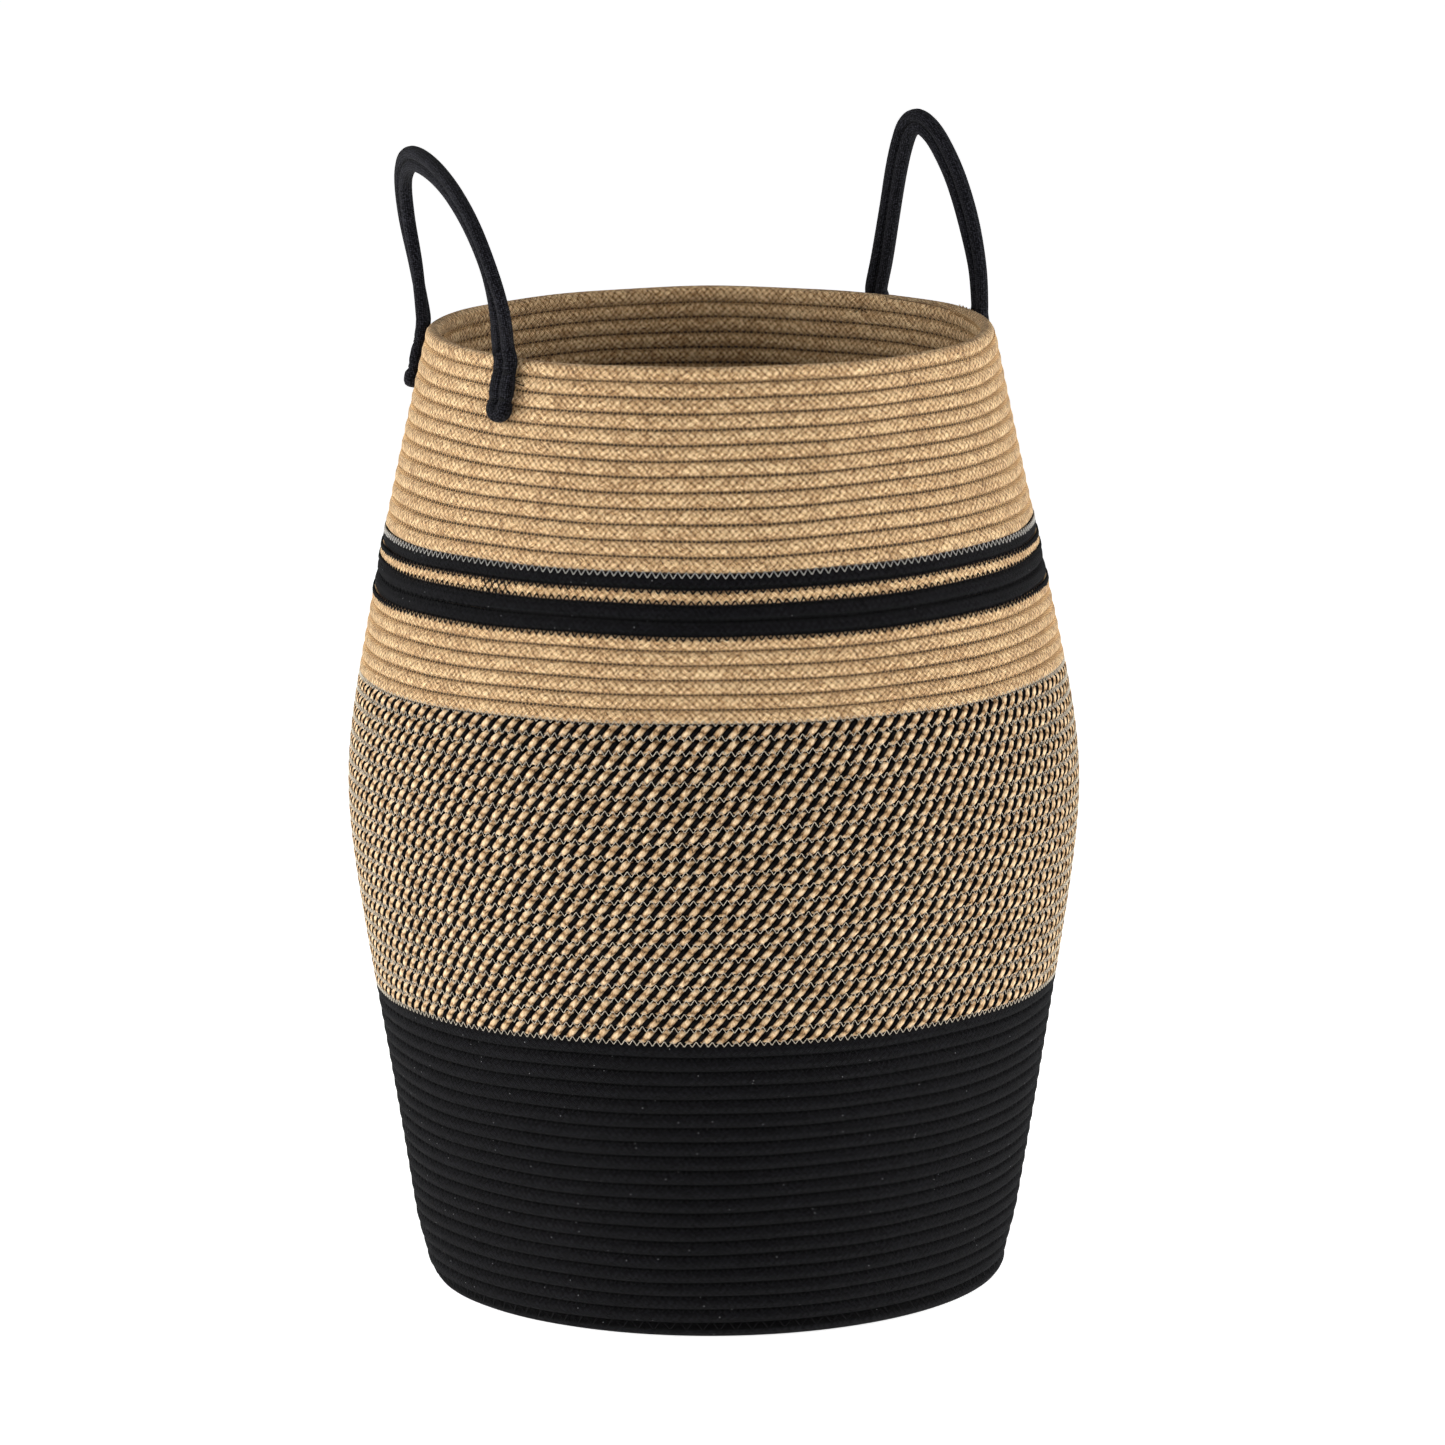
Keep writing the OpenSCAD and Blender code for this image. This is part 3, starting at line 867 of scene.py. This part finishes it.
class Strap:
    """A handle's strap: its middle line from the front sewn end over the loop to the back one,
    with the direction across it, the direction it faces and its drop below the hinge line.
    lean is the loop's outward run per rise. The front leg stands rim_shift degrees off at the
    rim and tip_shift degrees off at its tip. path is the loop's middle line in millimetres,
    as distances along the hinge line and above it."""

    LEG_POINTS = 8
    LEG_TOP = 0.005             # drop of a leg's highest point
    SETTLE = (0.002, 0.008)     # drop where a leg leaves the rim, and the length it takes
    GAP = 0.0004                # between a leg and the wall
    FREE_HEIGHT = 0.045         # where the loop no longer faces as the legs do
    CURVE_STEPS = 8
    TIP_POINTS = 6

    def __init__(self, side, azimuth, half_span, lean, rim_shift, tip_shift, path):
        self.side = side
        self.hinge = azimuth
        self.shifts = rim_shift, tip_shift
        rows = []
        for d in np.linspace(END_DROP, self.LEG_TOP, self.LEG_POINTS):
            rows.append(self.leg_point(azimuth + half_span, 1, d))
        rows += self.loop_points(half_span, math.atan(lean), np.array(path) * 0.001)
        for d in np.linspace(self.LEG_TOP, END_DROP, self.LEG_POINTS):
            rows.append(self.leg_point(azimuth - half_span, -1, d))
        line, across, drop = (curve_through(column, self.CURVE_STEPS) for column in zip(*rows))
        tangent = unit(np.gradient(line, axis=0))
        self.line = line
        self.drop = drop[:, 0]
        self.across = square_to(across, tangent)
        face = np.cross(tangent, self.across)
        outward = line * (1, 1, 0)
        flip = np.sign(np.sum(face * outward, axis=1, keepdims=True))
        self.face = face * np.where(flip == 0, 1, flip)

    def leg_point(self, azimuth, leg, d):
        """A point of a sewn end, d below the hinge line, where it settles against the wall."""
        z = HINGE_Z - d
        against = float(wall_radius(min(z, BODY_H))) + CORD_D / 2 + self.GAP
        start, length = self.SETTLE
        settle = float(smooth((d - start) / length))
        radius = LEG_R * (1 - settle) + against * settle
        if leg > 0:
            azimuth += self.shifts[0] * (1 - settle) + self.shifts[1] * settle
        return turned(radius, 0, z, azimuth), turned(0, leg, 0, azimuth), (d,)

    def loop_points(self, half_span, tilt, path):
        """Points of the loop. Just above the rim it still faces as its sewn ends do."""
        reach = LEG_R * math.cos(math.radians(half_span))
        sine, cosine = math.sin(tilt), math.cos(tilt)
        points = []
        for (u, w), (du, dw) in zip(path, np.gradient(path, axis=0)):
            size = math.hypot(du, dw)
            point = turned(reach + w * sine, u, HINGE_Z + w * cosine, self.hinge)
            free = turned(-du / size * sine, dw / size, -du / size * cosine, self.hinge)
            leg = 1 if u > 0 else -1
            sewn = turned(0, leg, 0, self.hinge + leg * half_span)
            turn = float(smooth(w / self.FREE_HEIGHT))
            points.append((point, free * turn + sewn * (1 - turn), (0.0,)))
        return points

    def sizes(self):
        """Thickness and width of each cord as shares of its diameter: the sewn ends are wider,
        pressed in along their two lines of stitches and thick at the tip."""
        tip = smooth((self.drop - 0.030) / 0.003)
        high = smooth((self.line[:, 2] - HINGE_Z) / 0.08)
        thick = 0.98 + 0.04 * high + 0.06 * smooth(self.drop / 0.012) + 0.26 * tip
        wide = 0.96 + 0.08 * high + 0.24 * smooth(self.drop / 0.028) - 0.05 * tip
        for at in STITCH_DROPS:
            thick -= 0.24 * np.exp(-((self.drop - at) / 0.0024) ** 2)
        wide -= 0.09 * np.exp(-((self.drop - STITCH_DROPS[-1]) / 0.0018) ** 2)
        return thick, wide

    def tip(self, end, offset):
        """Points that curl from a cord's sewn end in to the strap's middle."""
        down = unit(self.line[end] - self.line[1 if end == 0 else -2])
        aside = self.across[end] * offset[end]
        turn = np.linspace(0, math.pi / 2, self.TIP_POINTS + 1)[1:, None]
        return self.line[end] + down * CORD_OFFSET * np.sin(turn) + aside * np.cos(turn)

    def cord(self, name, sign):
        """One of the strap's two cords; both ends curl in to meet the other cord's."""
        thick, wide = self.sizes()
        offset = CORD_OFFSET * sign * np.minimum(wide, 1)
        body = self.line + self.across * offset[:, None]
        line = np.concatenate([self.tip(0, offset)[::-1], body, self.tip(-1, offset)])
        ends = ((self.TIP_POINTS, self.TIP_POINTS), (0, 0))
        face, thick, wide = (
            np.pad(values, ends, mode="edge")
            for values in (self.face, thick[:, None], wide[:, None])
        )
        tangent = unit(np.gradient(line, axis=0))
        face = square_to(face, tangent)
        side = np.cross(face, tangent)
        tube = (line, face, side, thick * CORD_D / 2, wide * CORD_D / 2)
        return sweep(name, [tube], section_shape(16, 2.6))

    def finish_piece(self, piece, material, slot, nodes):
        """Gives a piece that runs from the sewn ends into the loop its material, hides the CAD
        nodes that it stands for and bakes its placement into its mesh.
        """
        piece.data.materials.append(material)
        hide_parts(*nodes)
        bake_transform(piece)

    def seam(self, name):
        """Running stitches in the groove between the cords, on both faces."""
        lowest, step, pitch = 0.012, 0.0005, 0.0036
        loop = np.where(self.drop < lowest)[0]
        line, across, face = self.line[loop], self.across[loop], self.face[loop]
        d = distances(line)
        fine = np.arange(0, d[-1], step)
        points, across, face = (
            np.stack([np.interp(fine, d, values[:, i]) for i in range(3)], 1)
            for values in (line, across, face)
        )
        lift = 0.0017 + 0.0006 * np.sin(2 * math.pi * fine / pitch)
        lines = []
        for sign in (1, -1):
            outer = face * sign
            lines.append((points + outer * lift[:, None], outer, across, 0.00035, 0.00045))
        return sweep(name, lines, section_shape(5, 2.0))

    def stitch(self, at, slant):
        """A thread over both cords at a point of the strap's middle line, slanting a little."""
        line, across, face = self.line[at], self.across[at], self.face[at]
        wrap, height, clear, thread_r = 0.86, 0.82, 0.0001, 0.0004
        t = np.linspace(-1, 1, 19)[:, None]
        reach = (CORD_OFFSET + CORD_D / 2 * wrap) * t
        from_cord = (np.abs(reach) - CORD_OFFSET) / (CORD_D / 2)
        bulge = np.sqrt(np.clip(1 - from_cord ** 2, 0, 1))
        lift = CORD_D / 2 * height * bulge + clear
        up = np.cross(face, across)
        points = line + across * reach + face * lift + up * slant * t
        tangent = unit(np.gradient(points, axis=0))
        side = unit(np.cross(np.broadcast_to(face, points.shape), tangent))
        return points, np.cross(tangent, side), side, thread_r, thread_r

    def stitches(self, name, end):
        """Two lines of three hand stitches over a sewn end."""
        half = len(self.drop) // 2
        first, last = (0, half) if end == "front" else (half, None)
        drop = self.drop[first:last]
        lines = []
        for at in STITCH_DROPS:
            for shift, slant in ((-0.0011, -0.0008), (0.0, 0.0), (0.0010, 0.0008)):
                nearest = int(np.argmin(np.abs(drop - at - shift)))
                lines.append(self.stitch(first + nearest, slant))
        return sweep(name, lines, section_shape(6, 2.0))


def handle_pieces(strap):
    """A strap's two cords, the seam between them and the sewing of its ends."""
    handle = strap.side + "_handle_"
    ends = [handle + "front_end", handle + "back_end"]
    for which, sign in (("outer", 1), ("inner", -1)):
        cord = strap.cord(f"{handle}{which}_strap_cord", sign)
        strap.finish_piece(cord, FELT, "black_cord", [f"{handle}{which}_cord", *ends])
    seam = strap.seam(handle + "running_stitches")
    strap.finish_piece(seam, BLACK_THREAD, "black_thread", [handle + "seam_thread"])
    for end in ("front", "back"):
        sewing = strap.stitches(f"{handle}{end}_sewing", end)
        dress(sewing, BLACK_THREAD, [f"{handle}{end}_stitches"])


# Close to the CAD model's loops. The right one's front side stands nearer its other side.
LEFT_PATH = [
    [71.99, 0], [78, 18], [74, 40], [58, 62], [32, 79], [0, 88.5],
    [-32, 89.5], [-54, 78], [-64, 56], [-66, 28], [-71.99, 0],
]
RIGHT_PATH = [
    [42.4, 0], [34, 18], [23, 44], [13, 68], [5, 84], [-2.5, 94.5], [-11.5, 98.4],
    [-21, 94.5], [-29.5, 85], [-38.5, 68], [-45, 45], [-48, 20], [-46.57, 0],
]

LEFT, RIGHT = HANDLES
handle_pieces(Strap(*LEFT, lean=0.2, rim_shift=0.0, tip_shift=0.8, path=LEFT_PATH))
handle_pieces(Strap(*RIGHT, lean=-0.15, rim_shift=-1.6, tip_shift=-1.6, path=RIGHT_PATH))


# ---------------------------------------------------------------- floor, light and camera

def stage_floor():
    """A plain pale floor."""
    size = 25.0
    corners = [(-size, -size, 0), (size, -size, 0), (size, size, 0), (-size, size, 0)]
    mesh = bpy.data.meshes.new("stage_floor")
    mesh.from_pydata(corners, [], [(0, 1, 2, 3)])
    floor = bpy.data.objects.new("stage_floor", mesh)
    bpy.context.scene.collection.objects.link(floor)
    m = Nodes("pale_floor")
    m.finish((0.95, 0.95, 0.95, 1.0), 0.9, 0.0, 0.2)
    m.shader.inputs["Emission Color"].default_value = (1.0, 1.0, 1.0, 1.0)
    m.shader.inputs["Emission Strength"].default_value = 0.79
    floor.data.materials.append(m.material)


def softbox(name, azimuth, distance, height, size, power):
    """A rectangular soft light that faces the basket's middle, at an azimuth from the camera's."""
    light = bpy.data.lights.new(name, "AREA")
    light.shape = "RECTANGLE"
    light.size, light.size_y = size
    light.energy = power
    lamp = bpy.data.objects.new(name, light)
    a = math.radians(CAMERA_AZIMUTH + azimuth)
    lamp.location = (distance * math.cos(a), distance * math.sin(a), height)
    aim = Vector((0, 0, 0.3)) - lamp.location
    lamp.rotation_euler = aim.to_track_quat("-Z", "Y").to_euler()
    bpy.context.scene.collection.objects.link(lamp)


def camera():
    """The photograph's long lens, a little above the rim."""
    distance, height = 3.64, 0.968
    pitch, pan, roll = (math.radians(angle) for angle in (10.35, 0.08, -0.35))
    data = bpy.data.cameras.new("camera")
    data.sensor_width = 36.0
    data.lens = 169.2
    data.clip_end = 50
    eye = bpy.data.objects.new("camera", data)
    a = math.radians(CAMERA_AZIMUTH)
    eye.location = (distance * math.cos(a), distance * math.sin(a), height)
    heading = Quaternion((0, 0, 1), a + math.pi / 2 - pan)
    tilt = Quaternion((1, 0, 0), math.pi / 2 - pitch)
    eye.rotation_euler = (heading @ tilt @ Quaternion((0, 0, 1), roll)).to_euler()
    bpy.context.scene.collection.objects.link(eye)
    bpy.context.scene.camera = eye


def world():
    """Dim white surroundings, bright near the horizon so that the floor has no visible edge."""
    bright, dim = 1.0, 0.22
    bright_below, dim_above = 0.108, 0.130      # sines of the elevation
    bpy.context.scene.world = bpy.data.worlds.new("studio")
    bpy.context.scene.world.use_nodes = True
    tree = bpy.context.scene.world.node_tree
    background = tree.nodes["Background"]
    background.inputs["Color"].default_value = (1.0, 1.0, 1.0, 1.0)
    place = tree.nodes.new("ShaderNodeTexCoord")
    split = tree.nodes.new("ShaderNodeSeparateXYZ")
    ramp = tree.nodes.new("ShaderNodeMapRange")
    ramp.inputs["From Min"].default_value = bright_below
    ramp.inputs["From Max"].default_value = dim_above
    ramp.inputs["To Min"].default_value = bright
    ramp.inputs["To Max"].default_value = dim
    tree.links.new(place.outputs["Generated"], split.inputs[0])
    tree.links.new(split.outputs["Z"], ramp.inputs["Value"])
    tree.links.new(ramp.outputs["Result"], background.inputs["Strength"])


stage_floor()
for name, azimuth, distance, height, size, power in (
    ("left_softbox", -80, 2.6, 0.65, (1.4, 1.8), 86),
    ("right_softbox", 80, 2.6, 0.65, (1.4, 1.8), 64),
    ("front_softbox", 10, 3.8, 1.2, (1.6, 1.2), 29.5),
):
    softbox(name, azimuth, distance, height, size, power)
camera()
world()
bpy.context.scene.view_settings.view_transform = "Standard"
